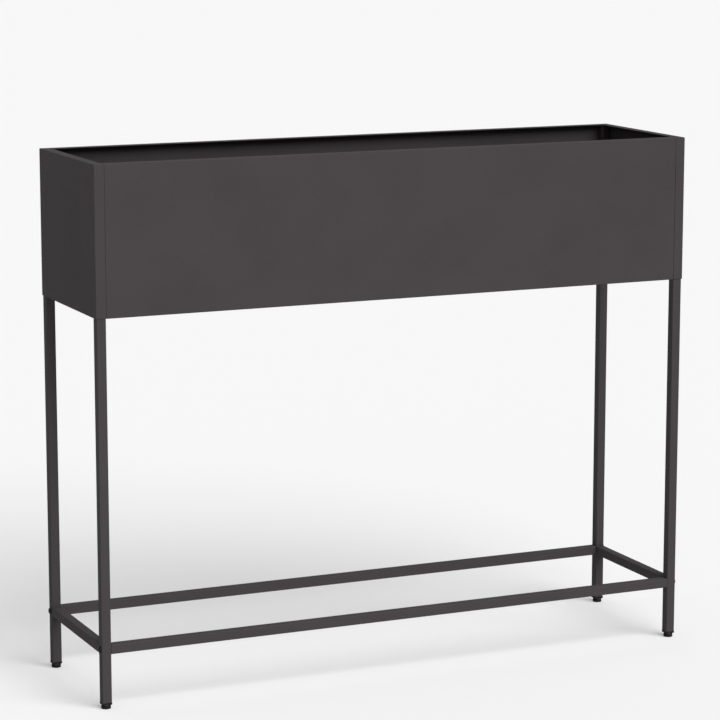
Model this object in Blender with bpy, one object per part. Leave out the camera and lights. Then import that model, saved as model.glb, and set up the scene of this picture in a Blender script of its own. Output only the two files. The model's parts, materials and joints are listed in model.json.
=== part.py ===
"""Raised planter on legs, modelled as the separate parts it is put together from.

Metres, +Z up, the front towards -Y. The origin is on the floor, under the middle of the planter.

A side frame at each end is two square-tube legs with a short rail near the floor and a cross tube
under the trough, welded between them. An end cap of bent sheet wraps round the top of both legs.
Two long panels fit between the end caps and screw to the legs from inside the trough. Two long
rails are bolted through the legs near the floor. A loose tray lies on the cross tubes and on
three braces. Each leg stands on a foot that screws up and down.
"""
import math

import bmesh
import bpy
from mathutils import Matrix, Vector

# Driving dimensions: the whole planter
LENGTH = 1.000
DEPTH = 0.260
HEIGHT = 0.830
TROUGH_HEIGHT = 0.230
RAIL_Z = 0.093

# Square tube and sheet
TUBE = 0.015
TUBE_WALL = 0.0012
TUBE_RADIUS = 0.0015
SHEET = 0.0007
BEND_RADIUS = 0.0009
CORNER_RADIUS = 0.0012
GAP = 0.0003

# Levelling feet: an M6 stud in a threaded plug
PAD_DIAMETER = 0.015
PAD_HEIGHT = 0.0050
PAD_CHAMFER = 0.0006
SOCKET_FLOOR = 0.0012
SPIGOT_DIAMETER = 0.0050
NUT_WIDTH = 0.0100
NUT_HEIGHT = 0.0009
STUD_DIAMETER = 0.0060
STUD_TOP = 0.0260
COLLAR_HEIGHT = 0.0030
COLLAR_OVERHANG = 0.0003
PLUG_LENGTH = 0.0180
PLUG_RADIUS = 0.0010

# Fasteners: M5 button-head bolts, and 3.9 mm screws with low heads
BOLT_DIAMETER = 0.0050
BOLT_LENGTH = 0.0350
BOLT_HEAD_DIAMETER = 0.0095
BOLT_HEAD_HEIGHT = 0.00275
BOLT_KEY = 0.0030
BOLT_KEY_DEPTH = 0.0014
INSERT_LENGTH = 0.022
SCREW_DIAMETER = 0.0039
SCREW_LENGTH = 0.0095
SCREW_HEAD_DIAMETER = 0.0075
SCREW_HEAD_HEIGHT = 0.0013
PANEL_SCREW_HEIGHTS = (0.055, 0.175)
BRACE_SCREW_SETBACK = 0.012

# Tray, its braces and its drain holes
BRACE_COUNT = 3
TRAY_LIP = 0.012
DRAIN_DIAMETER = 0.008
DRAIN_ROW_Y = 0.060

# How finely round shapes are drawn
CORNER_STEPS = 3
BEND_STEPS = 2
ROUND_STEPS = 24
FASTENER_STEPS = 18
SCREW_STEPS = 12
HOLE_STEPS = 16
SMOOTH_ANGLE = math.radians(40)

# Places that follow from the driving dimensions
TROUGH_BOTTOM = HEIGHT - TROUGH_HEIGHT
WRAP = SHEET + GAP + TUBE
LEG_FACE_X = LENGTH / 2 - SHEET - GAP
LEG_X = LEG_FACE_X - TUBE / 2
LEG_Y = DEPTH / 2 - SHEET - GAP - TUBE / 2
FOOT_HEIGHT = PAD_HEIGHT + NUT_HEIGHT + 2 * GAP
LEG_BOTTOM = FOOT_HEIGHT + COLLAR_HEIGHT + GAP
LEG_TOP = HEIGHT - SHEET - GAP
SHORT_RAIL = 2 * (LEG_Y - TUBE / 2 - GAP)
LONG_RAIL = 2 * (LEG_X - TUBE / 2 - GAP)
PANEL_LENGTH = LENGTH - 2 * (WRAP + GAP)
INSIDE_DEPTH = DEPTH - 2 * (SHEET + GAP)
CROSS_TUBE_Z = TROUGH_BOTTOM + SHEET + GAP + TUBE / 2
TRAY_BOTTOM = CROSS_TUBE_Z + TUBE / 2 + GAP
BRACE_PITCH = LENGTH / (BRACE_COUNT + 1)
BRACE_SCREW_Y = DEPTH / 2 - BRACE_SCREW_SETBACK
PLUG_SIDE = TUBE - 2 * (TUBE_WALL + GAP)

SIDES = (("left", -1), ("right", 1))
FRONT_REAR = (("front", -1), ("rear", 1))


# Materials

def new_material(name, colour, roughness, metallic):
    material = bpy.data.materials.new(name)
    material.use_nodes = True
    shader = material.node_tree.nodes["Principled BSDF"]
    shader.inputs["Base Color"].default_value = (*colour, 1.0)
    shader.inputs["Roughness"].default_value = roughness
    shader.inputs["Metallic"].default_value = metallic
    return material


def make_materials():
    return {
        "coated_steel": new_material("powder_coated_steel", (0.062, 0.055, 0.056), 0.55, 0.0),
        "black_bolt": new_material("blackened_steel", (0.020, 0.020, 0.021), 0.42, 0.6),
        "zinc": new_material("zinc_plated_steel", (0.52, 0.53, 0.55), 0.35, 1.0),
        "nylon": new_material("black_nylon", (0.022, 0.022, 0.023), 0.60, 0.0),
    }


# Outlines: the radius of a ring at an angle

def round_outline(diameter):
    return lambda angle: diameter / 2


def hex_outline(width):
    """Hexagon, width across its flats, with a corner at angle zero."""
    side = math.pi / 3
    return lambda angle: width / 2 / math.cos(angle % side - side / 2)


def cross_outline(width):
    """Cross recess: four arms and four inner corners."""
    quarter = math.pi / 2
    return lambda angle: width / 2 * (1.0 if round(angle / quarter * 3) % 3 == 0 else 0.42)


def ring(z, outline, steps, phase=0.0):
    angles = [2 * math.pi * (i + phase) / steps for i in range(steps)]
    return [(outline(a) * math.cos(a), outline(a) * math.sin(a), z) for a in angles]


def rectangle(width, height):
    x = width / 2
    y = height / 2
    return [(-x, -y), (x, -y), (x, y), (-x, y)]


def rounded(corners, radius, inset, steps):
    """Right-angled outline, anticlockwise, drawn an inset inside its corners with an arc at each."""
    points = []
    for i, (x, y) in enumerate(corners):
        before = Vector((x, y)) - Vector(corners[i - 1])
        after = Vector(corners[(i + 1) % len(corners)]) - Vector((x, y))
        inward = [Vector((-edge.y, edge.x)).normalized() for edge in (before, after)]
        bulge = 1 if before.cross(after) > 0 else -1
        centre = Vector((x, y)) + bulge * radius * (inward[0] + inward[1])
        arc_radius = radius - bulge * inset
        for step in range(steps + 1):
            angle = math.pi / 2 * step / steps
            spoke = inward[0] * math.cos(angle) + inward[1] * math.sin(angle)
            points.append(tuple(centre - bulge * arc_radius * spoke))
    return points


def square_ring(z, side, radius):
    return [(x, y, z) for x, y in rounded(rectangle(side, side), radius, 0, CORNER_STEPS)]


# Meshes and objects

def skin(bm, rings, closed=False):
    """Joins rings of equal point counts: caps at both ends, or one closed loop of rings."""
    rows = [[bm.verts.new(point) for point in points] for points in rings]
    count = len(rows[0])
    pairs = list(zip(rows, rows[1:] + rows[:1])) if closed else list(zip(rows, rows[1:]))
    for low, high in pairs:
        for i in range(count):
            j = (i + 1) % count
            bm.faces.new((low[i], low[j], high[j], high[i]))
    if not closed:
        bm.faces.new(list(reversed(rows[0])))
        bm.faces.new(rows[-1])


def mesh_from(name, bm):
    mesh = bpy.data.meshes.new(name)
    bm.to_mesh(mesh)
    bm.free()
    mesh.shade_smooth()
    mesh.set_sharp_from_angle(angle=SMOOTH_ANGLE)
    return mesh


def place(name, mesh, material, location=(0, 0, 0), rotation=(0, 0, 0)):
    if material and not mesh.materials:
        mesh.materials.append(material)
    thing = bpy.data.objects.new(name, mesh)
    thing.location = location
    thing.rotation_euler = rotation
    bpy.context.scene.collection.objects.link(thing)
    return thing


def skinned_mesh(name, rings, closed=False):
    bm = bmesh.new()
    skin(bm, rings, closed)
    return mesh_from(name, bm)


def cut(thing, cutter):
    modifier = thing.modifiers.new(cutter.name, "BOOLEAN")
    modifier.operation = "DIFFERENCE"
    modifier.solver = "EXACT"
    modifier.object = cutter


def make_cutter(name, bm):
    cutter = place(name, mesh_from(name, bm), None)
    cutter.hide_render = True
    cutter.display_type = "WIRE"
    return cutter


def add_hollow_square(rings, hole):
    """Closes a square-sided body with a round hole down its middle, whose points start at the same corner."""
    steps = len(rings[0])
    corner = (steps + 1) / 2
    top = rings[-1][0][2]
    bottom = rings[0][0][2]
    return rings + [ring(top, hole, steps, corner), ring(bottom, hole, steps, corner)]


def add_drill(bm, centre, axis, diameter, length):
    turn = Matrix.Rotation(math.pi / 2, 4, "Y") if axis == "X" else Matrix.Identity(4)
    bmesh.ops.create_cone(
        bm,
        cap_ends=True,
        segments=HOLE_STEPS,
        radius1=diameter / 2,
        radius2=diameter / 2,
        depth=length,
        matrix=Matrix.Translation(centre) @ turn,
    )


def add_block(bm, centre, size):
    bmesh.ops.create_cube(bm, size=1.0, matrix=Matrix.Translation(centre) @ Matrix.Diagonal((*size, 1.0)))


# Square tube

def tube_mesh(name, length):
    inner_side = TUBE - 2 * TUBE_WALL
    inner_radius = TUBE_RADIUS - TUBE_WALL
    rings = [
        square_ring(-length / 2, TUBE, TUBE_RADIUS),
        square_ring(length / 2, TUBE, TUBE_RADIUS),
        square_ring(length / 2, inner_side, inner_radius),
        square_ring(-length / 2, inner_side, inner_radius),
    ]
    return skinned_mesh(name, rings, closed=True)


def make_legs(steel, bolt_holes, screw_holes):
    mesh = tube_mesh("leg_tube", LEG_TOP - LEG_BOTTOM)
    for end, y_sign in FRONT_REAR:
        for side, x_sign in SIDES:
            middle = (x_sign * LEG_X, y_sign * LEG_Y, (LEG_TOP + LEG_BOTTOM) / 2)
            leg = place(f"leg_{end}_{side}", mesh, steel, middle)
            cut(leg, bolt_holes)
            cut(leg, screw_holes)


def make_side_tubes(steel):
    """Short tubes welded between the front and the rear leg at each end."""
    mesh = tube_mesh("short_tube", SHORT_RAIL)
    along_y = (math.pi / 2, 0, 0)
    for side, x_sign in SIDES:
        place(f"lower_rail_{side}", mesh, steel, (x_sign * LEG_X, 0, RAIL_Z), along_y)
        place(f"cross_tube_{side}", mesh, steel, (x_sign * LEG_X, 0, CROSS_TUBE_Z), along_y)


def make_long_rails(steel):
    mesh = tube_mesh("long_tube", LONG_RAIL)
    for end, y_sign in FRONT_REAR:
        place(f"lower_rail_{end}", mesh, steel, (0, y_sign * LEG_Y, RAIL_Z), (0, math.pi / 2, 0))


def brace_positions():
    first = -(BRACE_COUNT - 1) / 2
    return [(first + i) * BRACE_PITCH for i in range(BRACE_COUNT)]


def make_braces(steel, brace_holes):
    mesh = tube_mesh("brace_tube", INSIDE_DEPTH)
    for number, x in enumerate(brace_positions(), 1):
        brace = place(f"tray_brace_{number}", mesh, steel, (x, 0, CROSS_TUBE_Z), (math.pi / 2, 0, 0))
        cut(brace, brace_holes)


# Bent sheet

def sheet_pan(name, corners, lip, material, location, rotation=(0, 0, 0)):
    """A flat sheet facing -Z, with its edges bent up to the height of the lip."""
    inner_radius = BEND_RADIUS - SHEET
    bend = [math.pi / 2 * step / BEND_STEPS for step in range(BEND_STEPS + 1)]
    arc = [(1 - math.sin(angle), 1 - math.cos(angle)) for angle in bend]
    outside = [(BEND_RADIUS * across, BEND_RADIUS * up) for across, up in arc]
    inside = [(SHEET + inner_radius * across, SHEET + inner_radius * up) for across, up in arc]
    section = outside + [(0, lip), (SHEET, lip)] + inside[::-1]
    rings = [
        [(x, y, z) for x, y in rounded(corners, CORNER_RADIUS, inset, BEND_STEPS)] for inset, z in section
    ]
    return place(name, skinned_mesh(name, rings), material, location, rotation)


def make_long_panels(steel, screw_holes, brace_holes):
    outline = rectangle(PANEL_LENGTH, TROUGH_HEIGHT)
    middle_z = TROUGH_BOTTOM + TROUGH_HEIGHT / 2
    for (end, y_sign), turn in zip(FRONT_REAR, (0, math.pi)):
        location = (0, y_sign * DEPTH / 2, middle_z)
        panel = sheet_pan(f"{end}_panel", outline, WRAP, steel, location, (-math.pi / 2, 0, turn))
        cut(panel, screw_holes)
        cut(panel, brace_holes)


def make_end_caps(steel, leg_notches):
    outline = rectangle(DEPTH, TROUGH_HEIGHT)
    middle_z = TROUGH_BOTTOM + TROUGH_HEIGHT / 2
    for side, x_sign in SIDES:
        location = (x_sign * LENGTH / 2, 0, middle_z)
        rotation = (-math.pi / 2, 0, x_sign * math.pi / 2)
        cap = sheet_pan(f"end_cap_{side}", outline, WRAP, steel, location, rotation)
        cut(cap, leg_notches)


def make_tray(steel, drain_holes):
    """The tray's corners are notched round the legs and the ends of the long panels."""
    x = LEG_FACE_X
    y = INSIDE_DEPTH / 2
    notch_x = PANEL_LENGTH / 2 - SHEET - 2 * GAP
    notch_y = LEG_Y - TUBE / 2 - 2 * GAP
    corner = [(notch_x, -y), (notch_x, -notch_y), (x, -notch_y)]
    right = corner + [(px, -py) for px, py in reversed(corner)]
    outline = right + [(-px, -py) for px, py in right]
    tray = sheet_pan("floor_tray", outline, TRAY_LIP, steel, (0, 0, TRAY_BOTTOM))
    cut(tray, drain_holes)


# Holes

def make_bolt_holes():
    bm = bmesh.new()
    for _, x_sign in SIDES:
        for _, y_sign in FRONT_REAR:
            centre = (x_sign * LEG_X, y_sign * LEG_Y, RAIL_Z)
            add_drill(bm, centre, "X", BOLT_DIAMETER + 2 * GAP, TUBE * 1.4)
    return make_cutter("bolt_holes", bm)


def panel_screw_places():
    """Where the long panels' end flanges lie on the inner faces of the legs."""
    inner_face = LEG_X - TUBE / 2
    return [
        (end, side, number, (x_sign * inner_face, y_sign * LEG_Y, TROUGH_BOTTOM + height), x_sign)
        for end, y_sign in FRONT_REAR
        for side, x_sign in SIDES
        for number, height in enumerate(PANEL_SCREW_HEIGHTS, 1)
    ]


def make_screw_holes():
    bm = bmesh.new()
    for _, _, _, centre, _ in panel_screw_places():
        add_drill(bm, centre, "X", SCREW_DIAMETER + 2 * GAP, 4 * TUBE_WALL)
    return make_cutter("screw_holes", bm)


def make_brace_holes():
    bm = bmesh.new()
    for x in brace_positions():
        for _, y_sign in FRONT_REAR:
            centre = (x, y_sign * BRACE_SCREW_Y, TROUGH_BOTTOM + SHEET)
            add_drill(bm, centre, "Z", SCREW_DIAMETER + 2 * GAP, 4 * TUBE_WALL)
    return make_cutter("brace_holes", bm)


def make_leg_notches():
    bm = bmesh.new()
    width = TUBE + 2 * GAP
    for _, x_sign in SIDES:
        for _, y_sign in FRONT_REAR:
            centre = (x_sign * LEG_X, y_sign * LEG_Y, TROUGH_BOTTOM)
            add_block(bm, centre, (width, width, 6 * SHEET))
    return make_cutter("leg_notches", bm)


def make_drain_holes():
    """Two holes in the middle of each bay between the cross tubes and the braces."""
    bm = bmesh.new()
    for bay in range(BRACE_COUNT + 1):
        x = (bay - BRACE_COUNT / 2) * BRACE_PITCH
        for _, y_sign in FRONT_REAR:
            add_drill(bm, (x, y_sign * DRAIN_ROW_Y, TRAY_BOTTOM), "Z", DRAIN_DIAMETER, 6 * SHEET)
    return make_cutter("drain_holes", bm)


# Fasteners, drawn standing on +Z with the head's seat at z = 0

def bolt_mesh():
    steps = FASTENER_STEPS
    shank = round_outline(BOLT_DIAMETER)
    tip = round_outline(BOLT_DIAMETER * 0.8)
    key = hex_outline(BOLT_KEY)
    rings = [
        ring(-BOLT_LENGTH, tip, steps),
        ring(-BOLT_LENGTH + BOLT_DIAMETER * 0.15, shank, steps),
        ring(0, shank, steps),
        ring(0, round_outline(BOLT_HEAD_DIAMETER), steps),
        ring(BOLT_HEAD_HEIGHT * 0.35, round_outline(BOLT_HEAD_DIAMETER), steps),
        ring(BOLT_HEAD_HEIGHT * 0.80, round_outline(BOLT_HEAD_DIAMETER * 0.76), steps),
        ring(BOLT_HEAD_HEIGHT, round_outline(BOLT_HEAD_DIAMETER * 0.50), steps),
        ring(BOLT_HEAD_HEIGHT, key, steps),
        ring(BOLT_HEAD_HEIGHT - BOLT_KEY_DEPTH, key, steps),
    ]
    return skinned_mesh("m5_button_bolt", rings)


def screw_mesh():
    steps = SCREW_STEPS
    shank = round_outline(SCREW_DIAMETER)
    recess = cross_outline(SCREW_HEAD_DIAMETER * 0.5)
    rings = [
        ring(-SCREW_LENGTH, round_outline(SCREW_DIAMETER * 0.1), steps),
        ring(-SCREW_LENGTH + SCREW_DIAMETER, shank, steps),
        ring(0, shank, steps),
        ring(0, round_outline(SCREW_HEAD_DIAMETER), steps),
        ring(SCREW_HEAD_HEIGHT * 0.6, round_outline(SCREW_HEAD_DIAMETER * 0.96), steps),
        ring(SCREW_HEAD_HEIGHT, round_outline(SCREW_HEAD_DIAMETER * 0.70), steps),
        ring(SCREW_HEAD_HEIGHT, recess, steps),
        ring(SCREW_HEAD_HEIGHT * 0.4, recess, steps),
    ]
    return skinned_mesh("low_head_screw", rings)


def make_rail_bolts(black, zinc):
    """Each bolt passes through a leg into a threaded insert in the end of a long rail."""
    bolt = bolt_mesh()
    hole = round_outline(BOLT_DIAMETER + 2 * GAP)
    body = [square_ring(z, PLUG_SIDE, PLUG_RADIUS) for z in (-INSERT_LENGTH, 0)]
    insert = skinned_mesh("rail_insert", add_hollow_square(body, hole), closed=True)
    for end, y_sign in FRONT_REAR:
        for side, x_sign in SIDES:
            outward = (0, x_sign * math.pi / 2, 0)
            seat = (x_sign * (LEG_FACE_X + GAP), y_sign * LEG_Y, RAIL_Z)
            rail_end = (x_sign * LONG_RAIL / 2, y_sign * LEG_Y, RAIL_Z)
            place(f"rail_bolt_{end}_{side}", bolt, black, seat, outward)
            place(f"rail_insert_{end}_{side}", insert, zinc, rail_end, outward)


def make_screws(black):
    mesh = screw_mesh()
    stand_off = 2 * GAP + SHEET
    for end, side, number, (x, y, z), x_sign in panel_screw_places():
        seat = (x - x_sign * stand_off, y, z)
        place(f"panel_screw_{end}_{side}_{number}", mesh, black, seat, (0, -x_sign * math.pi / 2, 0))
    for number, x in enumerate(brace_positions(), 1):
        for end, y_sign in FRONT_REAR:
            seat = (x, y_sign * BRACE_SCREW_Y, TROUGH_BOTTOM - GAP)
            place(f"brace_screw_{end}_{number}", mesh, black, seat, (math.pi, 0, 0))


# Levelling feet

def plug_mesh():
    """Threaded plug in the end of a leg, with a collar that the tube stands on."""
    collar_side = TUBE + 2 * COLLAR_OVERHANG
    hole = round_outline(STUD_DIAMETER + 2 * GAP)
    body = [
        square_ring(0, collar_side, TUBE_RADIUS),
        square_ring(COLLAR_HEIGHT, collar_side, TUBE_RADIUS),
        square_ring(COLLAR_HEIGHT, PLUG_SIDE, PLUG_RADIUS),
        square_ring(COLLAR_HEIGHT + PLUG_LENGTH, PLUG_SIDE, PLUG_RADIUS),
    ]
    return skinned_mesh("leg_plug", add_hollow_square(body, hole), closed=True)


def pad_mesh():
    steps = ROUND_STEPS
    edge = round_outline(PAD_DIAMETER - 2 * PAD_CHAMFER)
    side = round_outline(PAD_DIAMETER)
    socket = round_outline(SPIGOT_DIAMETER + 2 * GAP)
    rings = [
        ring(0, edge, steps),
        ring(PAD_CHAMFER, side, steps),
        ring(PAD_HEIGHT - PAD_CHAMFER, side, steps),
        ring(PAD_HEIGHT, edge, steps),
        ring(PAD_HEIGHT, socket, steps),
        ring(SOCKET_FLOOR, socket, steps),
    ]
    return skinned_mesh("foot_pad", rings)


def stud_mesh():
    """Stud with a spigot that turns in the pad and a hexagon for a spanner."""
    steps = FASTENER_STEPS
    spigot = round_outline(SPIGOT_DIAMETER)
    nut = hex_outline(NUT_WIDTH)
    thread = round_outline(STUD_DIAMETER)
    nut_bottom = PAD_HEIGHT + GAP
    nut_top = nut_bottom + NUT_HEIGHT
    rings = [
        ring(SOCKET_FLOOR + GAP, spigot, steps),
        ring(nut_bottom, spigot, steps),
        ring(nut_bottom, nut, steps),
        ring(nut_top, nut, steps),
        ring(nut_top, thread, steps),
        ring(STUD_TOP - STUD_DIAMETER * 0.1, thread, steps),
        ring(STUD_TOP, round_outline(STUD_DIAMETER * 0.8), steps),
    ]
    return skinned_mesh("foot_stud", rings)


def make_feet(nylon, zinc):
    plug = plug_mesh()
    pad = pad_mesh()
    stud = stud_mesh()
    for end, y_sign in FRONT_REAR:
        for side, x_sign in SIDES:
            x = x_sign * LEG_X
            y = y_sign * LEG_Y
            place(f"leg_plug_{end}_{side}", plug, nylon, (x, y, FOOT_HEIGHT))
            place(f"foot_pad_{end}_{side}", pad, nylon, (x, y, 0))
            place(f"foot_stud_{end}_{side}", stud, zinc, (x, y, 0))


def main():
    for thing in list(bpy.data.objects):
        bpy.data.objects.remove(thing, do_unlink=True)
    materials = make_materials()
    steel = materials["coated_steel"]
    bolt_holes = make_bolt_holes()
    screw_holes = make_screw_holes()
    brace_holes = make_brace_holes()
    make_legs(steel, bolt_holes, screw_holes)
    make_side_tubes(steel)
    make_long_rails(steel)
    make_braces(steel, brace_holes)
    make_long_panels(steel, screw_holes, brace_holes)
    make_end_caps(steel, make_leg_notches())
    make_tray(steel, make_drain_holes())
    make_rail_bolts(materials["black_bolt"], materials["zinc"])
    make_screws(materials["black_bolt"])
    make_feet(materials["nylon"], materials["zinc"])


main()
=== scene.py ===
import json
import math

import bmesh
import bpy
from mathutils import Matrix, Vector


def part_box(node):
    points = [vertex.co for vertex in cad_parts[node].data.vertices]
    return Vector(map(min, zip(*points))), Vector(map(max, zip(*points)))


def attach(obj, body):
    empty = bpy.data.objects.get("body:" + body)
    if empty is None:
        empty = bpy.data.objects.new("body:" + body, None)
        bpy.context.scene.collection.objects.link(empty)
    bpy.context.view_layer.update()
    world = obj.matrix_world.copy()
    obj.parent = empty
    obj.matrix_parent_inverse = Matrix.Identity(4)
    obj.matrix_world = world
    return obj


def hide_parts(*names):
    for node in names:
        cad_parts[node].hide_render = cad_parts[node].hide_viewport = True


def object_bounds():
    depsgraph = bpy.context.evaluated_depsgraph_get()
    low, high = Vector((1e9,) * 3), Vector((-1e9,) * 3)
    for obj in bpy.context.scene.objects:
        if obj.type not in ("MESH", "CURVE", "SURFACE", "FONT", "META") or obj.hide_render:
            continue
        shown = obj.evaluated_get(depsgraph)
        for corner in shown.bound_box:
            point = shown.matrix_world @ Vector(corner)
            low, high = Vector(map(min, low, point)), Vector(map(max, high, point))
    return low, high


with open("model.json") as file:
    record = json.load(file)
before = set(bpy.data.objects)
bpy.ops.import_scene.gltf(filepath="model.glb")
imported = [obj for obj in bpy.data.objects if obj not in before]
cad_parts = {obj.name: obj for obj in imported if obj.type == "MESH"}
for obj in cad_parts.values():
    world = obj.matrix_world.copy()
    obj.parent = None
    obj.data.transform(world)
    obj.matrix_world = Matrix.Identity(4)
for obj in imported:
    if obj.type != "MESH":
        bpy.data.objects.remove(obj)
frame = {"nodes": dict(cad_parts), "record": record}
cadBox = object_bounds()

sides = ("left", "right")
ends = ("front", "rear")
corners = [f"{end}_{side}" for end in ends for side in sides]
planter = "planter"


# Camera, floor and light

cameraValues = {
    "place": (-1.820, -4.035, 1.275),
    "yaw": 24.11,
    "pitch": 10.16,
    "lens": 140.6,
    "reach": 200,
}
studioValues = {
    "floorSide": 80.0,
    "floorColour": "#dcdcdc",
    "floorGlow": 0.24,
    "skyStrength": 0.32,
    "skySeen": 0.92,
}
lampValues = {
    "front_lamp": {"from": (0.35, -1.0, 1.12), "spread": 48.0, "strength": 2.66},
    "back_lamp": {"from": (0.0, 0.8, 1.0), "spread": 48.0, "strength": 0.15},
}


def toLinear(hexColour):
    channels = [int(hexColour[i:i + 2], 16) / 255 for i in (1, 3, 5)]
    return [c / 12.92 if c <= 0.04045 else ((c + 0.055) / 1.055) ** 2.4 for c in channels] + [1.0]


def addNode(tree, kind, settings=None, inputs=None):
    node = tree.nodes.new(kind)
    for name, value in (settings or {}).items():
        setattr(node, name, value)
    for name, value in (inputs or {}).items():
        if isinstance(value, bpy.types.NodeSocket):
            tree.links.new(value, node.inputs[name])
        else:
            node.inputs[name].default_value = value
    return node


def addObject(name, data):
    thing = bpy.data.objects.new(name, data)
    bpy.context.scene.collection.objects.link(thing)
    return thing


def makeCamera():
    v = cameraValues
    camera = addObject("camera", bpy.data.cameras.new("camera"))
    camera.location = v["place"]
    camera.rotation_euler = (math.radians(90 - v["pitch"]), 0, -math.radians(v["yaw"]))
    camera.data.lens = v["lens"]
    camera.data.clip_end = v["reach"]
    bpy.context.scene.camera = camera


def makeSky():
    # Even and white: dim as a light, and as pale as the floor where it is seen
    v = studioValues
    scene = bpy.context.scene
    scene.view_settings.view_transform = "Standard"
    world = bpy.data.worlds.new("white_sky")
    scene.world = world
    world.use_nodes = True
    tree = world.node_tree
    strength = addNode(tree, "ShaderNodeMapRange", {}, {
        "Value": addNode(tree, "ShaderNodeLightPath").outputs["Is Camera Ray"],
        "To Min": v["skyStrength"],
        "To Max": v["skySeen"],
    })
    background = tree.nodes["Background"]
    background.inputs["Color"].default_value = (1, 1, 1, 1)
    tree.links.new(strength.outputs[0], background.inputs["Strength"])


def paperFloor():
    # Matt white paper, with a glow that whitens it where it is seen and lights nothing
    v = studioValues
    material = bpy.data.materials.new("white_paper_floor")
    material.use_nodes = True
    tree = material.node_tree
    shader = tree.nodes["Principled BSDF"]
    shader.inputs["Base Color"].default_value = toLinear(v["floorColour"])
    shader.inputs["Roughness"].default_value = 1.0
    shader.inputs["Specular IOR Level"].default_value = 0.0
    shader.inputs["Emission Color"].default_value = (1, 1, 1, 1)
    glow = addNode(tree, "ShaderNodeMapRange", {}, {
        "Value": addNode(tree, "ShaderNodeLightPath").outputs["Is Camera Ray"],
        "To Max": v["floorGlow"],
    })
    tree.links.new(glow.outputs[0], shader.inputs["Emission Strength"])
    # Seen from beneath, the floor is clear, so that the feet and the underside show
    oneSided = addNode(tree, "ShaderNodeMixShader", {}, {
        0: addNode(tree, "ShaderNodeNewGeometry").outputs["Backfacing"],
        1: shader.outputs[0],
        2: addNode(tree, "ShaderNodeBsdfTransparent").outputs[0],
    })
    tree.links.new(oneSided.outputs[0], tree.nodes["Material Output"].inputs["Surface"])
    return material


def makeFloor():
    half = studioValues["floorSide"] / 2
    points = [(-half, -half, 0), (half, -half, 0), (half, half, 0), (-half, half, 0)]
    floorMesh = bpy.data.meshes.new("studio_floor")
    floorMesh.from_pydata(points, [], [(0, 1, 2, 3)])
    floorMesh.materials.append(paperFloor())
    addObject("studio_floor", floorMesh)


def makeLamps():
    # A wide soft lamp in front and to the right, and a weak one behind
    for name, v in lampValues.items():
        lamp = bpy.data.lights.new(name, "SUN")
        lamp.energy = v["strength"]
        lamp.angle = math.radians(v["spread"])
        addObject(name, lamp).rotation_euler = Vector(v["from"]).to_track_quat("Z", "Y").to_euler()


# Materials

coatValues = {
    "colour": "#464243",
    "thinColour": "#494546",
    "driftSize": 0.11,
    "peelSize": 0.0030,
    "grainSize": 0.0008,
    "grainShade": (0.75, 1.2),
    "grainShare": 0.35,
    "roughness": (0.64, 0.76),
    "gloss": 0.07,
    "peelHeight": 0.00004,
    "grainHeight": 0.00002,
}
boltValues = {
    "colour": "#1d1c1c",
    "wornColour": "#2c2a29",
    "wearSize": 0.0012,
    "wearHeight": 0.00002,
    "metallic": 0.85,
    "roughness": (0.34, 0.50),
}
zincValues = {
    "colour": "#b4b8bc",
    "dullColour": "#9a9ea1",
    "bloomSize": 0.0030,
    "roughness": (0.26, 0.42),
}
nylonValues = {
    "colour": "#101011",
    "paleColour": "#161617",
    "sparkSize": 0.0006,
    "sparkHeight": 0.00003,
    "gloss": 0.25,
    "roughness": (0.50, 0.66),
}
noiseSpan = {"From Min": 0.3, "From Max": 0.7}  # noise seldom goes past these, so they stretch it to its ends


def newMaterial(name, patterns):
    # A material with cloudy patterns in it, each given by the size of its patches and its detail
    material = bpy.data.materials.new(name)
    material.use_nodes = True
    tree = material.node_tree
    place = addNode(tree, "ShaderNodeTexCoord").outputs["Object"]
    clouds = []
    for size, detail in patterns:
        cloud = addNode(tree, "ShaderNodeTexNoise", {}, {
            "Vector": place,
            "Scale": 1 / size,
            "Detail": detail,
        })
        clouds.append(cloud.outputs[0])
    return material, tree, clouds


def twoTones(tree, pattern, first, second):
    # The pattern picks its way between two close colours
    share = addNode(tree, "ShaderNodeMapRange", {}, {"Value": pattern, **noiseSpan})
    return addNode(tree, "ShaderNodeMixRGB", {}, {
        "Fac": share.outputs[0],
        "Color1": toLinear(first),
        "Color2": toLinear(second),
    }).outputs[0]


def finishSurface(tree, colour, pattern, roughness, relief=None):
    # Gives the shader its colour, a roughness that follows the pattern, and its relief
    shader = tree.nodes["Principled BSDF"]
    uneven = addNode(tree, "ShaderNodeMapRange", {}, {
        "Value": pattern,
        **noiseSpan,
        "To Min": roughness[0],
        "To Max": roughness[1],
    })
    tree.links.new(colour, shader.inputs["Base Color"])
    tree.links.new(uneven.outputs[0], shader.inputs["Roughness"])
    if relief:
        tree.links.new(relief.outputs[0], shader.inputs["Normal"])
    return shader


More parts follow.
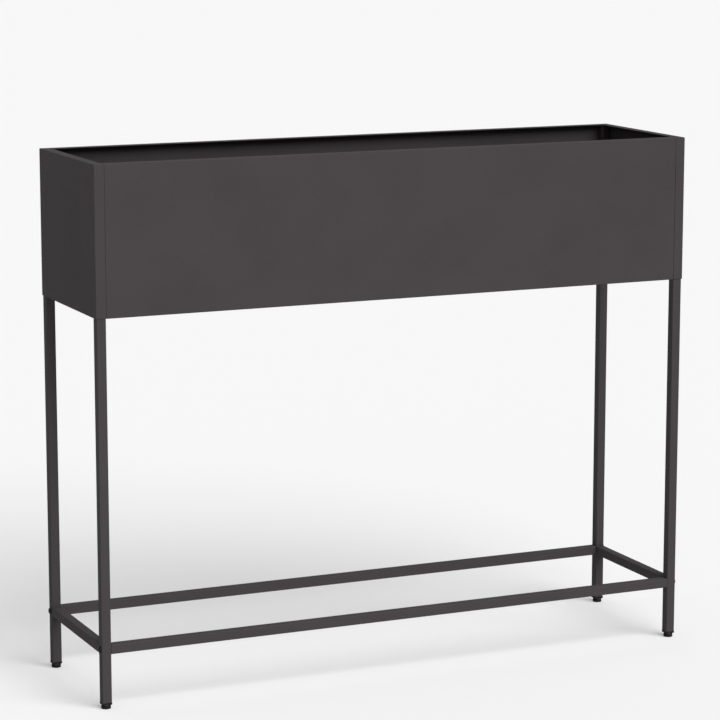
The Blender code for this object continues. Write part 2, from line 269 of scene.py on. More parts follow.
def powderCoatedSteel():
    # Polyester powder, sprayed and baked on steel: a matt, slightly pebbled skin with a soft sheen
    v = coatValues
    # Real orange peel is about 0.7 mm across: it is drawn four times as coarse, so that it shows
    sizes = ((v["driftSize"], 2.0), (v["peelSize"], 2.0), (v["grainSize"], 3.0))
    material, tree, (drift, peel, grain) = newMaterial("powder_coated_steel", sizes)
    shade = addNode(tree, "ShaderNodeMapRange", {}, {
        "Value": grain,
        **noiseSpan,
        "To Min": v["grainShade"][0],
        "To Max": v["grainShade"][1],
    })
    speckled = addNode(tree, "ShaderNodeMixRGB", {"blend_type": "MULTIPLY"}, {
        "Fac": v["grainShare"],
        "Color1": twoTones(tree, drift, v["colour"], v["thinColour"]),
        "Color2": shade.outputs[0],
    })
    pebbles = addNode(tree, "ShaderNodeBump", {}, {"Distance": v["peelHeight"], "Height": peel})
    skin = addNode(tree, "ShaderNodeBump", {}, {
        "Distance": v["grainHeight"],
        "Height": grain,
        "Normal": pebbles.outputs[0],
    })
    shader = finishSurface(tree, speckled.outputs[0], peel, v["roughness"], skin)
    shader.inputs["Specular IOR Level"].default_value = v["gloss"]
    return material


def blackenedSteel():
    # Bolts and screws dipped in black oxide and oil: a dark satin metal, a little browner where rubbed
    v = boltValues
    material, tree, (wear,) = newMaterial("blackened_steel", ((v["wearSize"], 4.0),))
    colour = twoTones(tree, wear, v["colour"], v["wornColour"])
    pits = addNode(tree, "ShaderNodeBump", {}, {"Distance": v["wearHeight"], "Height": wear})
    shader = finishSurface(tree, colour, wear, v["roughness"], pits)
    shader.inputs["Metallic"].default_value = v["metallic"]
    return material


def zincPlatedSteel():
    # Bright zinc on turned steel: a pale bluish metal with a cloudy bloom
    v = zincValues
    material, tree, (bloom,) = newMaterial("zinc_plated_steel", ((v["bloomSize"], 3.0),))
    colour = twoTones(tree, bloom, v["colour"], v["dullColour"])
    shader = finishSurface(tree, colour, bloom, v["roughness"])
    shader.inputs["Metallic"].default_value = 1.0
    return material


def mouldedNylon():
    # Injection-moulded nylon from a spark-eroded tool: an even black with a fine dull grain
    v = nylonValues
    material, tree, (spark,) = newMaterial("moulded_black_nylon", ((v["sparkSize"], 4.0),))
    colour = twoTones(tree, spark, v["colour"], v["paleColour"])
    grain = addNode(tree, "ShaderNodeBump", {}, {"Distance": v["sparkHeight"], "Height": spark})
    shader = finishSurface(tree, colour, spark, v["roughness"], grain)
    shader.inputs["Specular IOR Level"].default_value = v["gloss"]
    return material


# Meshes

def meshOf(name, bm, place=None):
    if place is not None:
        bm.transform(place)
    mesh = bpy.data.meshes.new(name)
    bm.to_mesh(mesh)
    bm.free()
    return mesh


def ring(bm, outline, steps, z, phase=0.0):
    angles = [2 * math.pi * (i + phase) / steps for i in range(steps)]
    return [bm.verts.new((outline(a) * math.cos(a), outline(a) * math.sin(a), z)) for a in angles]


def bridge(bm, rings, closed=False):
    pairs = list(zip(rings, rings[1:] + rings[:1])) if closed else list(zip(rings, rings[1:]))
    for low, high in pairs:
        for i in range(len(low)):
            j = (i + 1) % len(low)
            bm.faces.new((low[i], low[j], high[j], high[i]))


def capEnds(bm, rings):
    bm.faces.new(list(reversed(rings[0])))
    bm.faces.new(rings[-1])


def turned(name, outlines, steps, place=None):
    # A closed body drawn through a stack of outlines, each at its own height
    bm = bmesh.new()
    rings = [ring(bm, outline, steps, z) for outline, z in outlines]
    bridge(bm, rings)
    capEnds(bm, rings)
    bmesh.ops.recalc_face_normals(bm, faces=bm.faces)
    return meshOf(name, bm, place)


def circle(radius):
    return lambda angle: radius


def hexagon(width, reach=math.inf):
    # Its corners are cut off where they would pass the reach
    side = math.pi / 3
    return lambda angle: min(reach, width / 2 / math.cos(angle % side - side / 2))


def crossRecess(reach, arm):
    # A plus sign: each arm reaches out, and its flat sides meet the next arm's
    def radius(angle):
        off = abs((angle + math.pi / 4) % (math.pi / 2) - math.pi / 4)
        return min(reach / math.cos(off), arm / max(math.sin(off), 0.001))
    return radius


def roundedCorners(points, radius, inset, steps):
    # A right-angled outline, anticlockwise, drawn an inset inside its corners with an arc at each
    drawn = []
    for i, corner in enumerate(points):
        before = Vector(corner) - Vector(points[i - 1])
        after = Vector(points[(i + 1) % len(points)]) - Vector(corner)
        inward = [Vector((-edge.y, edge.x)).normalized() for edge in (before, after)]
        bulge = 1 if before.cross(after) > 0 else -1
        centre = Vector(corner) + bulge * radius * (inward[0] + inward[1])
        reach = radius - bulge * inset
        for step in range(steps + 1):
            angle = math.pi / 2 * step / steps
            spoke = inward[0] * math.cos(angle) + inward[1] * math.sin(angle)
            drawn.append(centre - bulge * reach * spoke)
    return drawn


def rectangle(width, height):
    x = width / 2
    y = height / 2
    return [(-x, -y), (x, -y), (x, y), (-x, y)]


def evaluated(holder):
    depsgraph = bpy.context.evaluated_depsgraph_get()
    return bpy.data.meshes.new_from_object(holder.evaluated_get(depsgraph), depsgraph=depsgraph)


def cutAway(mesh, cutterMesh):
    target = addObject("cut_target", mesh)
    cutter = addObject("cutter", cutterMesh)
    modifier = target.modifiers.new("cut", "BOOLEAN")
    modifier.operation = "DIFFERENCE"
    modifier.solver = "EXACT"
    modifier.object = cutter
    result = evaluated(target)
    for thing in (target, cutter):
        bpy.data.objects.remove(thing)
    return result


def addPiece(name, mesh, material, nodes, body=planter, smoothBelow=35):
    # Weighted normals keep each flat face even right up to its small bends
    mesh.materials.clear()
    mesh.materials.append(material)
    mesh.shade_smooth()
    mesh.set_sharp_from_angle(angle=math.radians(smoothBelow))
    piece = addObject(name, mesh)
    weighted = piece.modifiers.new("even_flats", "WEIGHTED_NORMAL")
    weighted.keep_sharp = True
    piece.data = evaluated(piece)
    piece.data.name = name
    piece.modifiers.clear()
    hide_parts(*nodes)
    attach(piece, body)


# Geometry Nodes: square tube, fasteners on their seats, and weld ripples

def newTree(name, sockets):
    tree = bpy.data.node_groups.new(name, "GeometryNodeTree")
    for label, kind in sockets.items():
        tree.interface.new_socket(label, in_out="INPUT", socket_type=kind)
    tree.interface.new_socket("Geometry", in_out="OUTPUT", socket_type="NodeSocketGeometry")
    start = addNode(tree, "NodeGroupInput")
    return tree, start.outputs


def closeTree(tree, geometry, material):
    real = addNode(tree, "GeometryNodeRealizeInstances", {}, {"Geometry": geometry})
    painted = addNode(tree, "GeometryNodeSetMaterial", {}, {
        "Geometry": real.outputs[0],
        "Material": material,
    })
    addNode(tree, "NodeGroupOutput", {}, {"Geometry": painted.outputs[0]})


def runTree(tree, mesh, values):
    holder = addObject("tree_holder", mesh)
    modifier = holder.modifiers.new("nodes", "NODES")
    modifier.node_group = tree
    for item in tree.interface.items_tree:
        if item.item_type == "SOCKET" and item.in_out == "INPUT" and item.name in values:
            modifier[item.identifier] = values[item.name]
    result = evaluated(holder)
    bpy.data.objects.remove(holder)
    return result


def squareTubeTree():
    tree, given = newTree("square_tube", {
        "Geometry": "NodeSocketGeometry",
        "Width": "NodeSocketFloat",
        "Wall": "NodeSocketFloat",
        "Corner radius": "NodeSocketFloat",
        "Corner steps": "NodeSocketInt",
        "Merge within": "NodeSocketFloat",
        "Length": "NodeSocketFloat",
        "Start": "NodeSocketVector",
        "Turn": "NodeSocketRotation",
        "Material": "NodeSocketMaterial",
    })
    twoWalls = addNode(tree, "ShaderNodeMath", {"operation": "MULTIPLY"}, {0: given["Wall"], 1: 2.0})
    inside = addNode(tree, "ShaderNodeMath", {"operation": "SUBTRACT"}, {
        0: given["Width"],
        1: twoWalls.outputs[0],
    })
    innerRadius = addNode(tree, "ShaderNodeMath", {"operation": "SUBTRACT"}, {
        0: given["Corner radius"],
        1: given["Wall"],
    })
    outlines = addNode(tree, "GeometryNodeJoinGeometry")
    outer = (given["Width"], given["Corner radius"])
    inner = (inside.outputs[0], innerRadius.outputs[0])
    for width, radius in (outer, inner):
        square = addNode(tree, "GeometryNodeCurvePrimitiveQuadrilateral", {}, {
            "Width": width,
            "Height": width,
        })
        rounded = addNode(tree, "GeometryNodeFilletCurve", {"mode": "POLY"}, {
            "Curve": square.outputs[0],
            "Count": given["Corner steps"],
            "Radius": radius,
        })
        tree.links.new(rounded.outputs[0], outlines.inputs[0])
    section = addNode(tree, "GeometryNodeFillCurve", {"mode": "TRIANGLES"}, {"Curve": outlines.outputs[0]})
    drawn = addNode(tree, "GeometryNodeExtrudeMesh", {"mode": "FACES"}, {
        "Mesh": section.outputs[0],
        "Offset": (0, 0, 1),
        "Offset Scale": given["Length"],
        "Individual": False,
    })
    foot = addNode(tree, "GeometryNodeFlipFaces", {}, {"Mesh": section.outputs[0]})
    both = addNode(tree, "GeometryNodeJoinGeometry")
    tree.links.new(drawn.outputs[0], both.inputs[0])
    tree.links.new(foot.outputs[0], both.inputs[0])
    welded = addNode(tree, "GeometryNodeMergeByDistance", {}, {
        "Geometry": both.outputs[0],
        "Distance": given["Merge within"],
    })
    placed = addNode(tree, "GeometryNodeTransform", {}, {
        "Geometry": welded.outputs[0],
        "Translation": given["Start"],
        "Rotation": given["Turn"],
    })
    closeTree(tree, placed.outputs[0], given["Material"])
    return tree


def fastenerTree():
    # One fastener stands on each point, along its outward arrow, each turned by chance about its own axis
    tree, given = newTree("fasteners_on_seats", {
        "Geometry": "NodeSocketGeometry",
        "Fastener": "NodeSocketObject",
        "Most turn": "NodeSocketFloat",
        "Seed": "NodeSocketInt",
        "Material": "NodeSocketMaterial",
    })
    points = addNode(tree, "GeometryNodeMeshToPoints", {}, {"Mesh": given["Geometry"]})
    fastener = addNode(tree, "GeometryNodeObjectInfo", {}, {"Object": given["Fastener"]})
    outward = addNode(tree, "GeometryNodeInputNamedAttribute", {"data_type": "FLOAT_VECTOR"}, {
        "Name": "outward",
    })
    stand = addNode(tree, "FunctionNodeAlignRotationToVector", {"axis": "Z"}, {
        "Vector": outward.outputs[0],
    })
    chance = addNode(tree, "FunctionNodeRandomValue", {"data_type": "FLOAT"}, {
        3: given["Most turn"],
        "Seed": given["Seed"],
    })
    about = addNode(tree, "ShaderNodeCombineXYZ", {}, {"Z": chance.outputs[1]})
    clock = addNode(tree, "FunctionNodeEulerToRotation", {}, {"Euler": about.outputs[0]})
    clocked = addNode(tree, "FunctionNodeRotateRotation", {"rotation_space": "LOCAL"}, {
        "Rotation": stand.outputs[0],
        "Rotate By": clock.outputs[0],
    })
    placed = addNode(tree, "GeometryNodeInstanceOnPoints", {}, {
        "Points": points.outputs[0],
        "Instance": fastener.outputs["Geometry"],
        "Rotation": clocked.outputs[0],
    })
    closeTree(tree, placed.outputs[0], given["Material"])
    return tree


def weldTree():
    # Overlapping flattened ripples along each line, as a torch leaves them
    tree, given = newTree("weld_ripples", {
        "Geometry": "NodeSocketGeometry",
        "Pitch": "NodeSocketFloat",
        "Ripple size": "NodeSocketVector",
        "Around": "NodeSocketInt",
        "Rows": "NodeSocketInt",
        "Uneven": "NodeSocketFloat",
        "Seed": "NodeSocketInt",
        "Material": "NodeSocketMaterial",
    })
    line = addNode(tree, "GeometryNodeMeshToCurve", {}, {"Mesh": given["Geometry"]})
    stops = addNode(tree, "GeometryNodeCurveToPoints", {"mode": "LENGTH"}, {
        "Curve": line.outputs[0],
        "Length": given["Pitch"],
    })
    ripple = addNode(tree, "GeometryNodeMeshUVSphere", {}, {
        "Segments": given["Around"],
        "Rings": given["Rows"],
        "Radius": 1.0,
    })
    less = addNode(tree, "ShaderNodeMath", {"operation": "SUBTRACT"}, {0: 1.0, 1: given["Uneven"]})
    more = addNode(tree, "ShaderNodeMath", {"operation": "ADD"}, {0: 1.0, 1: given["Uneven"]})
    chance = addNode(tree, "FunctionNodeRandomValue", {"data_type": "FLOAT"}, {
        2: less.outputs[0],
        3: more.outputs[0],
        "Seed": given["Seed"],
    })
    size = addNode(tree, "ShaderNodeVectorMath", {"operation": "SCALE"}, {
        0: given["Ripple size"],
        "Scale": chance.outputs[1],
    })
    placed = addNode(tree, "GeometryNodeInstanceOnPoints", {}, {
        "Points": stops.outputs[0],
        "Instance": ripple.outputs[0],
        "Scale": size.outputs[0],
    })
    closeTree(tree, placed.outputs[0], given["Material"])
    return tree


# Square tube: legs, rails and braces

tubeValues = {
    "wall": 0.0012,
    "cornerRadius": 0.0015,
    "cornerSteps": 6,
    "mergeWithin": 0.00001,
    "closeFit": 0.00022,
    "drillSteps": 24,
}


def alongAxis(low, high):
    # The direction that a tube runs in, its length and its width
    size = high - low
    axis = Vector([1.0 if size[i] == max(size) else 0.0 for i in range(3)])
    return axis, size.dot(axis), size[1] if axis.x else size[0]


def makeTubes(steel, tree, nodes, cutters, reach=0.0):
    # Reach draws a rail up against its neighbours, as its bolts or welds pull it
    v = tubeValues
    for node in nodes:
        low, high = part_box(node)
        axis, length, width = alongAxis(low, high)
        length += 2 * reach
        mesh = runTree(tree, bpy.data.meshes.new("start"), {
            "Width": width,
            "Wall": v["wall"],
            "Corner radius": v["cornerRadius"],
            "Corner steps": v["cornerSteps"],
            "Merge within": v["mergeWithin"],
            "Length": length,
            "Start": (low + high) / 2 - axis * length / 2,
            "Turn": axis.to_track_quat("Z", "Y").to_euler(),
            "Material": steel,
        })
        for cutter in cutters:
            mesh = cutAway(mesh, drillMesh(*cutter))
        addPiece(f"{node}_tube", mesh, steel, [node])


def drillMesh(places, diameter, length):
    bm = bmesh.new()
    for centre, axis in places:
        turn = axis.to_track_quat("Z", "Y").to_matrix().to_4x4()
        bmesh.ops.create_cone(
            bm,
            cap_ends=True,
            segments=tubeValues["drillSteps"],
            radius1=diameter / 2,
            radius2=diameter / 2,
            depth=length,
            matrix=Matrix.Translation(centre) @ turn,
        )
    return meshOf("drill", bm)


# Bent sheet: panels, end caps and tray

sheetValues = {
    "thickness": 0.0007,
    "bendRadius": 0.0009,
    "cornerRadius": 0.0012,
    "bendSteps": 4,
    "legRoom": 0.0003,
    "notchDepth": 0.0042,
    "closeFit": 0.00012,
}
trayValues = {
    "drainDiameter": 0.008,
    "dishDiameter": 0.034,
    "dishDepth": 0.0011,
    "dishSteps": 5,
    "roundSteps": 32,
    "rowY": 0.060,
    "bays": 4,
    "lengthInBays": 4.0165,  # the whole planter's length, over the pitch of the braces
}


def panSection(lip):
    # From the flat's edge, round the outside of the bend, over the lip and back down the inside
    v = sheetValues
    inner = v["bendRadius"] - v["thickness"]
    bend = [math.pi / 2 * step / v["bendSteps"] for step in range(v["bendSteps"] + 1)]
    arc = [(1 - math.sin(a), 1 - math.cos(a)) for a in bend]
    outside = [(v["bendRadius"] * across, v["bendRadius"] * up) for across, up in arc]
    inside = [(v["thickness"] + inner * across, v["thickness"] + inner * up) for across, up in arc]
    return outside + [(0, lip), (v["thickness"], lip)] + inside[::-1]


def panRings(bm, outline, lip):
    v = sheetValues
    rings = []
    for inset, z in panSection(lip):
        points = roundedCorners(outline, v["cornerRadius"], inset, v["bendSteps"])
        rings.append([bm.verts.new((p.x, p.y, z)) for p in points])
    bridge(bm, rings)
    return rings


def makePanel(name, node, outward, steel, cutters):
    # The pan lies face down, then turns to face outward; its size is the node's own
    low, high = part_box(node)
    middle = (low + high) / 2
    size = high - low
    across = size.x + 2 * sheetValues["closeFit"] if outward.y else size.y
    depth = abs(size.dot(outward))
    up = Vector((0, 0, 1))
    turn = Matrix((up.cross(outward), up, -outward)).transposed().to_4x4()
    place = Matrix.Translation(middle + outward * depth / 2) @ turn
    bm = bmesh.new()
    rings = panRings(bm, rectangle(across, size.z), depth)
    capEnds(bm, rings)
    bmesh.ops.recalc_face_normals(bm, faces=bm.faces)
    mesh = meshOf(name, bm, place)
    for cutter in cutters:
        mesh = cutAway(mesh, cutter)
    addPiece(name, mesh, steel, [node])


def legNotchMesh(side):
    v = sheetValues
    bm = bmesh.new()
    for end in ends:
        low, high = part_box(f"leg_{end}_{side}")
        width = high.x - low.x + 2 * v["legRoom"]
        centre = Vector(((low.x + high.x) / 2, (low.y + high.y) / 2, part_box(f"end_cap_{side}")[0].z))
        size = Matrix.Diagonal((width, width, v["notchDepth"], 1))
        bmesh.ops.create_cube(bm, size=1, matrix=Matrix.Translation(centre) @ size)
    return meshOf("leg_notches", bm)


def trayOutline(low, high):
    # A rectangle, notched at its corners round the legs
    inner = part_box("front_panel")[1].x - sheetValues["thickness"] - 2 * sheetValues["legRoom"]
    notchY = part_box("leg_rear_left")[0].y - 2 * sheetValues["legRoom"]
    corner = [(inner, low.y), (inner, -notchY), (high.x, -notchY)]
    right = corner + [(x, -y) for x, y in reversed(corner)]
    return right + [(-x, -y) for x, y in right]


def dishHeight(radius):
    # Deepest at the drain, and eased up to the flat floor
    v = trayValues
    t = (radius - v["drainDiameter"] / 2) / (v["dishDiameter"] - v["drainDiameter"]) * 2
    return -v["dishDepth"] * (1 - t * t * (3 - 2 * t))


def drainDish(bm, centre):
    # A shallow dish with a drain hole at its middle; its outer loops are left open, below and above
    v = trayValues
    hole = v["drainDiameter"] / 2
    reach = v["dishDiameter"] / 2 - hole
    radii = [hole + reach * step / v["dishSteps"] for step in range(v["dishSteps"] + 1)]
    underside, top = [], []
    for rows, lift in ((underside, 0), (top, sheetValues["thickness"])):
        for radius in radii:
            row = ring(bm, circle(radius), v["roundSteps"], dishHeight(radius) + lift)
            for vert in row:
                vert.co += centre
            rows.append(row)
    bridge(bm, underside[::-1] + top)
    return underside[-1], top[-1]


def makeTray(steel):
    # The floor between the lips is filled round its drain dishes, two to each bay between the braces
    v = trayValues
    low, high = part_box("floor_tray")
    bay = 2 * cadBox[1][0] / v["lengthInBays"]
    bm = bmesh.new()
    rings = panRings(bm, trayOutline(low, high), high.z - low.z)
    undersides = [rings[0]]
    tops = [rings[-1]]
    for number in range(v["bays"]):
        for y in (-v["rowY"], v["rowY"]):
            x = (number - (v["bays"] - 1) / 2) * bay
            underside, top = drainDish(bm, Vector((x, y, 0)))
            undersides.append(underside)
            tops.append(top)
    for loops in (undersides, tops):
        edges = [bm.edges.get((loop[i - 1], loop[i])) for loop in loops for i in range(len(loop))]
        bmesh.ops.triangle_fill(bm, use_beauty=True, use_dissolve=False, edges=edges, normal=(0, 0, 1))
    bmesh.ops.recalc_face_normals(bm, faces=bm.faces)
    mesh = meshOf("floor_tray_sheet", bm, Matrix.Translation((0, 0, low.z)))
    addPiece("floor_tray_sheet", mesh, steel, ["floor_tray"])


# Fasteners, drawn standing on +Z with the seat at zero

boltShape = {
    "head": 0.0095,
    "height": 0.00275,
    "edge": 0.000495,
    "flat": 0.00247,
    "chamfer": 0.0001,
    "key": 0.0030,
    "keyMouth": 0.00186,
    "keyLead": 0.0002,
    "keyDepth": 0.0016,
    "keyPoint": 0.0003,
    "pointDepth": 0.0004,
    "shank": 0.0050,
    "length": 0.035,
    "tip": 0.0006,
    "steps": 36,
    "domeSteps": 6,
    "drill": 0.040,
}
screwShape = {
    "head": 0.0075,
    "height": 0.0013,
    "edge": 0.000585,
    "flat": 0.0027,
    "recess": 0.0021,
    "arm": 0.00042,
    "floorRecess": 0.00147,
    "floorArm": 0.000336,
    "floorHeight": 0.000455,
    "shank": 0.0039,
    "length": 0.0095,
    "tip": 0.0039,
    "point": 0.0001,
    "steps": 32,
    "domeSteps": 4,
    "drill": 0.0060,
}


def dome(v):
    # A quarter of an ellipse, from the head's straight edge in to its flat top
    angles = [math.pi / 2 * step / v["domeSteps"] for step in range(v["domeSteps"] + 1)]
    reach = v["head"] / 2 - v["flat"]
    rise = v["height"] - v["edge"]
    return [(circle(v["flat"] + reach * math.cos(a)), v["edge"] + rise * math.sin(a)) for a in angles]


def boltMesh():
    # Button head: a domed top over a short straight edge, with a hexagon socket
    v = boltShape
    shank = v["shank"] / 2
    head = v["head"] / 2
    keyFloor = v["height"] - v["keyDepth"]
    outlines = [
        (circle(shank - v["tip"]), -v["length"]),
        (circle(shank), v["tip"] - v["length"]),
        (circle(shank), 0),
        (circle(head - v["chamfer"]), 0),
        (circle(head), v["chamfer"]),
    ]
    outlines += dome(v)
    outlines += [
        (circle(v["keyMouth"]), v["height"]),
        (hexagon(v["key"]), v["height"] - v["keyLead"]),
        (hexagon(v["key"]), keyFloor),
        (circle(v["keyPoint"]), keyFloor - v["pointDepth"]),
    ]
    return turned("m5_button_bolt", outlines, v["steps"])


def screwMesh():
    # Low head with a cross recess
    v = screwShape
    outlines = [
        (circle(v["point"]), -v["length"]),
        (circle(v["shank"] / 2), v["tip"] - v["length"]),
        (circle(v["shank"] / 2), 0),
        (circle(v["head"] / 2), 0),
    ]
    outlines += dome(v)
    outlines += [
        (crossRecess(v["recess"], v["arm"]), v["height"]),
        (crossRecess(v["floorRecess"], v["floorArm"]), v["floorHeight"]),
    ]
    return turned("low_head_screw", outlines, v["steps"])


def seatOf(node, outward, headHeight):
    low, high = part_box(node)
    reach = abs((high - low).dot(outward)) / 2
    return (low + high) / 2 + outward * (reach - headHeight)


def setFasteners(name, tree, fastener, height, arrows, material, seed):
    # arrows: each fastener's node and the way its head faces
    seats = bpy.data.meshes.new("seats")
    seats.from_pydata([seatOf(node, outward, height) for node, outward in arrows.items()], [], [])
    attribute = seats.attributes.new("outward", "FLOAT_VECTOR", "POINT")
    for row, outward in zip(attribute.data, arrows.values()):
        row.vector = outward
    template = addObject("fastener", fastener)
    template.hide_render = True
    mesh = runTree(tree, seats, {
        "Fastener": template,
        "Most turn": 2 * math.pi,
        "Seed": seed,
        "Material": material,
    })
    bpy.data.objects.remove(template)
    addPiece(name, mesh, material, list(arrows))


# Levelling feet

footValues = {"spigot": 0.0050, "room": 0.0003}
padValues = {
    "steps": 48,
    "edgeRadius": 0.0011,
    "edgeSteps": 5,
    "middle": 0.0006,
    "grooves": 3,
    "grooveDepth": 0.0004,
    "ridge": (0.2, 0.4, 1.4, 1.6),  # where each ridge starts, is down, lifts and ends, in groove widths
    "rimRidge": (0.00176, 0.00154),  # the same for the outermost one, in from the pad's edge
    "socketFloor": 0.0012,
    "socketLead": (0.0004, 0.0003),
}
studValues = {
    "steps": 32,
    "chamfer": 0.0002,
    "nutWidth": 0.0100,
    "nutReach": 0.0053,
    "nutHeight": 0.0009,
    "major": 0.0030,
    "threadPitch": 0.0010,
    "threadDepth": 0.00055,
    "rowsPerTurn": 8,
    "crest": 1.25,  # over 1, it flattens the top of the ridge
}
plugValues = {
    "collarEdge": 0.0007,
    "edgeSteps": 4,
    "shoulder": 0.0002,
    "ribs": 3,
    "ribHeight": 0.0002,
    "ribSlope": 0.0012,
    "lead": (0.0005, 0.0006),
    "cornerRadius": 0.0013,
    "cornerSteps": 5,
    "hole": 0.0066,
}


def padProfile(radius, height):
    # From the middle of the underside, over its ridges, round the edge and down into the socket
    v = padValues
    edge = v["edgeRadius"]
    groove = v["grooveDepth"]
    profile = [(v["middle"], groove)]
    width = (radius - 2 * edge) / (2 * v["grooves"])
    for number in range(v["grooves"]):
        start = edge / 2 + 2 * number * width
        profile += [(start + share * width, z) for share, z in zip(v["ridge"], (groove, 0, 0, groove))]
    profile += [(radius - inward, z) for inward, z in zip(v["rimRidge"], (groove, 0))]
    for size, z, first in ((edge / 2, edge / 2, -90), (edge, height - edge, 0)):
        arc = [math.radians(first + 90 * step / v["edgeSteps"]) for step in range(v["edgeSteps"] + 1)]
        profile += [(radius - size + size * math.cos(a), z + size * math.sin(a)) for a in arc]
    socket = footValues["spigot"] / 2 + footValues["room"]
    wider, deeper = v["socketLead"]
    profile += [(socket + wider, height), (socket, height - deeper)]
    profile += [(socket, v["socketFloor"]), (v["middle"], v["socketFloor"])]
    return profile


def makePad(corner, nylon):
    low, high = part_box(f"foot_pad_{corner}")
    middle = (low + high) / 2
    profile = padProfile((high.x - low.x) / 2, high.z - low.z)
    place = Matrix.Translation((middle.x, middle.y, low.z))
    mesh = turned("pad", [(circle(radius), z) for radius, z in profile], padValues["steps"], place)
    addPiece(f"foot_pad_{corner}_moulding", mesh, nylon, [f"foot_pad_{corner}"], f"pad_{corner}", 30)


def threadRow(z, share):
    # One outline through the helix: the higher it is, the further round its ridge stands
    v = studValues

    def radius(angle):
        phase = (z / v["threadPitch"] - angle / (2 * math.pi)) % 1
        ridge = 1 - abs(2 * phase - 1)
        return v["major"] - v["threadDepth"] * (1 - share * min(1.0, v["crest"] * ridge))

    return radius


def makeStud(corner, zinc):
    # A spigot that turns in the pad, a thin hexagon for a spanner, and a real helical thread above it
    v = studValues
    low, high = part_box(f"foot_stud_{corner}")
    spigot = footValues["spigot"] / 2
    chamfer = v["chamfer"]
    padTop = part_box(f"foot_pad_{corner}")[1].z
    nutBottom = padTop + footValues["room"]
    nutTop = nutBottom + v["nutHeight"]
    nut = hexagon(v["nutWidth"])
    easedNut = hexagon(v["nutWidth"], v["nutReach"])
    outlines = [
        (circle(spigot - chamfer), low.z),
        (circle(spigot), low.z + chamfer),
        (circle(spigot), nutBottom),
        (easedNut, nutBottom),
        (nut, nutBottom + chamfer),
        (nut, nutTop - chamfer),
        (easedNut, nutTop),
        (circle(v["major"] - v["threadDepth"]), nutTop),
    ]
    thread = high.z - nutTop
    rows = int(thread / v["threadPitch"] * v["rowsPerTurn"])
    for row in range(1, rows + 1):
        # The ridge rises over the first turn and dies away over the last
        share = min(1.0, row / v["rowsPerTurn"], (rows - row) / v["rowsPerTurn"])
        z = nutTop + thread * row / rows
        outlines.append((threadRow(z, share), z))
    middle = (low + high) / 2
    mesh = turned("stud", outlines, v["steps"], Matrix.Translation((middle.x, middle.y, 0)))
    addPiece(f"foot_stud_{corner}_screw", mesh, zinc, [f"foot_stud_{corner}"], f"stud_{corner}", 40)


def plugSections(side, bodySide, collarTop, height):
    # Widths and heights: the collar's eased lower edge, its shoulder, the ribs and a tapered lead
    v = plugValues
    sections = []
    for step in range(v["edgeSteps"] + 1):
        angle = math.pi / 2 * step / v["edgeSteps"]
        inset = v["collarEdge"] * (1 - math.sin(angle))
        sections.append((side - 2 * inset, v["collarEdge"] * (1 - math.cos(angle))))
    shoulder = v["shoulder"]
    sections += [(side, collarTop - shoulder), (side - 2 * shoulder, collarTop), (bodySide, collarTop)]
    gap = (height - collarTop) / (v["ribs"] + 1)
    proud = v["ribHeight"]
    ribSide = bodySide + 2 * proud
    for rib in range(1, v["ribs"] + 1):
        z = collarTop + rib * gap
        sections += [(bodySide, z - v["ribSlope"]), (ribSide, z - proud)]
        sections += [(ribSide, z), (bodySide, z + proud)]
    inset, rise = v["lead"]
    return sections + [(bodySide, height - rise), (bodySide - 2 * inset, height)]


def makePlug(corner, nylon):
    # A square collar under the tube, a ribbed body that grips its inside, and the stud's hole
    v = plugValues
    low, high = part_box(f"leg_plug_{corner}")
    side = high.x - low.x
    height = high.z - low.z
    bodySide = side - 2 * (footValues["room"] * 2 + tubeValues["wall"])
    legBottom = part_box(f"leg_{corner}")[0].z
    collarTop = legBottom - footValues["room"] - low.z
    bm = bmesh.new()
    rings = []
    for width, z in plugSections(side, bodySide, collarTop, height):
        points = roundedCorners(rectangle(width, width), v["cornerRadius"], 0, v["cornerSteps"])
        rings.append([bm.verts.new((p.x, p.y, z)) for p in points])
    steps = len(rings[0])
    rings += [ring(bm, circle(v["hole"] / 2), steps, z, (steps + 1) / 2) for z in (height, 0)]
    bridge(bm, rings, closed=True)
    bmesh.ops.recalc_face_normals(bm, faces=bm.faces)
    middle = (low + high) / 2
    mesh = meshOf("plug", bm, Matrix.Translation((middle.x, middle.y, low.z)))
    addPiece(f"leg_plug_{corner}_moulding", mesh, nylon, [f"leg_plug_{corner}"])


# Welds where the short lower rails meet the legs

weldValues = {
    "pitch": 0.0008,
    "fillet": (0.00075, 0.0013, 0.0013),
    "ground": (0.00022, 0.0011, 0.00080),
    "uneven": 0.10,
    "around": 10,
    "rows": 6,
    "inset": 0.0012,
    "standOff": 0.00015,
    "overlap": 0.0004,
    "sink": 0.0003,
}


def weldLines():
    # Fillets along X over and under each joint, and low ground lines along Z on its two sides
    v = weldValues
    fillets, groundLines = [], []
    for side in sides:
        low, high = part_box(f"lower_rail_{side}")
        for end, outward in ((low.y, -1), (high.y, 1)):
            y = end + outward * v["standOff"]
            beadY = y - outward * v["overlap"]
            for z in (low.z - v["sink"], high.z + v["sink"]):
                fillets.append(((low.x + v["inset"], beadY, z), (high.x - v["inset"], beadY, z)))
            for x in (low.x, high.x):
                groundLines.append(((x, y, low.z + v["inset"]), (x, y, high.z - v["inset"])))
    return fillets, groundLines


def lineMesh(lines):
    points = [point for line in lines for point in line]
    mesh = bpy.data.meshes.new("weld_lines")
    mesh.from_pydata(points, [(2 * i, 2 * i + 1) for i in range(len(lines))], [])
    return mesh


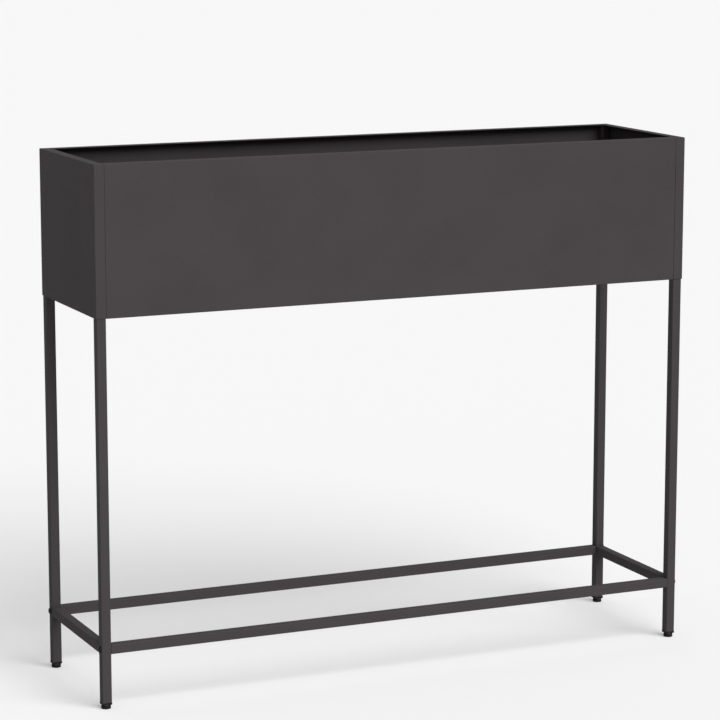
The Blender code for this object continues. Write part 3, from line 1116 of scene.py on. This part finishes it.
def makeWelds(steel, tree):
    v = weldValues
    fillets, groundLines = weldLines()
    for name, lines, size, seed in (
        ("rail_weld_fillets", fillets, v["fillet"], 3),
        ("rail_weld_ground_lines", groundLines, v["ground"], 5),
    ):
        mesh = runTree(tree, lineMesh(lines), {
            "Pitch": v["pitch"],
            "Ripple size": size,
            "Around": v["around"],
            "Rows": v["rows"],
            "Uneven": v["uneven"],
            "Seed": seed,
            "Material": steel,
        })
        addPiece(name, mesh, steel, [], smoothBelow=180)


# Putting it together

makeCamera()
makeSky()
makeFloor()
makeLamps()
print("camera, floor and light made")

steel = powderCoatedSteel()
black = blackenedSteel()
zinc = zincPlatedSteel()
nylon = mouldedNylon()
slotMaterials = {"coated_steel": steel, "black_bolt": black, "zinc": zinc, "nylon": nylon}
for part in frame["record"]["subparts"]:
    node = frame["nodes"][part["node"]]
    for materialSlot in node.material_slots:
        materialSlot.material = slotMaterials[part["material_slot"]]
print("materials made:", len(slotMaterials))

# Each fastener's node, and the way its head faces
outwardAt = {"left": Vector((-1, 0, 0)), "right": Vector((1, 0, 0))}
boltArrows = {f"rail_bolt_{end}_{side}": outwardAt[side] for end in ends for side in sides}
panelArrows = {
    f"panel_screw_{end}_{side}_{number}": -outwardAt[side]
    for end in ends
    for side in sides
    for number in (1, 2)
}
braceArrows = {f"brace_screw_{end}_{number}": Vector((0, 0, -1)) for end in ends for number in (1, 2, 3)}


def drilledFor(arrows, shape):
    places = [(seatOf(node, outward, shape["height"]), outward) for node, outward in arrows.items()]
    return places, shape["shank"] + 2 * sheetValues["legRoom"], shape["drill"]


boltHoles = drilledFor(boltArrows, boltShape)
panelHoles = drilledFor(panelArrows, screwShape)
braceHoles = drilledFor(braceArrows, screwShape)

tubeTree = squareTubeTree()
makeTubes(steel, tubeTree, [f"leg_{corner}" for corner in corners], [boltHoles, panelHoles])
makeTubes(steel, tubeTree, [f"lower_rail_{end}" for end in ends + sides], [], tubeValues["closeFit"])
makeTubes(steel, tubeTree, [f"cross_tube_{side}" for side in sides], [], tubeValues["closeFit"])
makeTubes(steel, tubeTree, ["tray_brace_1", "tray_brace_2", "tray_brace_3"], [braceHoles])
print("square tubes made")

for end, outward in (("front", Vector((0, -1, 0))), ("rear", Vector((0, 1, 0)))):
    drills = [drillMesh(*holes) for holes in (panelHoles, braceHoles)]
    makePanel(f"{end}_panel_sheet", f"{end}_panel", outward, steel, drills)
for side in sides:
    makePanel(f"end_cap_{side}_sheet", f"end_cap_{side}", outwardAt[side], steel, [legNotchMesh(side)])
makeTray(steel)
print("bent sheets made")

seats = fastenerTree()
setFasteners("rail_bolts", seats, boltMesh(), boltShape["height"], boltArrows, black, 11)
setFasteners("panel_screws", seats, screwMesh(), screwShape["height"], panelArrows, black, 12)
setFasteners("brace_screws", seats, screwMesh(), screwShape["height"], braceArrows, black, 13)
print("fasteners set")

for corner in corners:
    makePad(corner, nylon)
    makeStud(corner, zinc)
    makePlug(corner, nylon)
makeWelds(steel, weldTree())
print("feet and welds made")
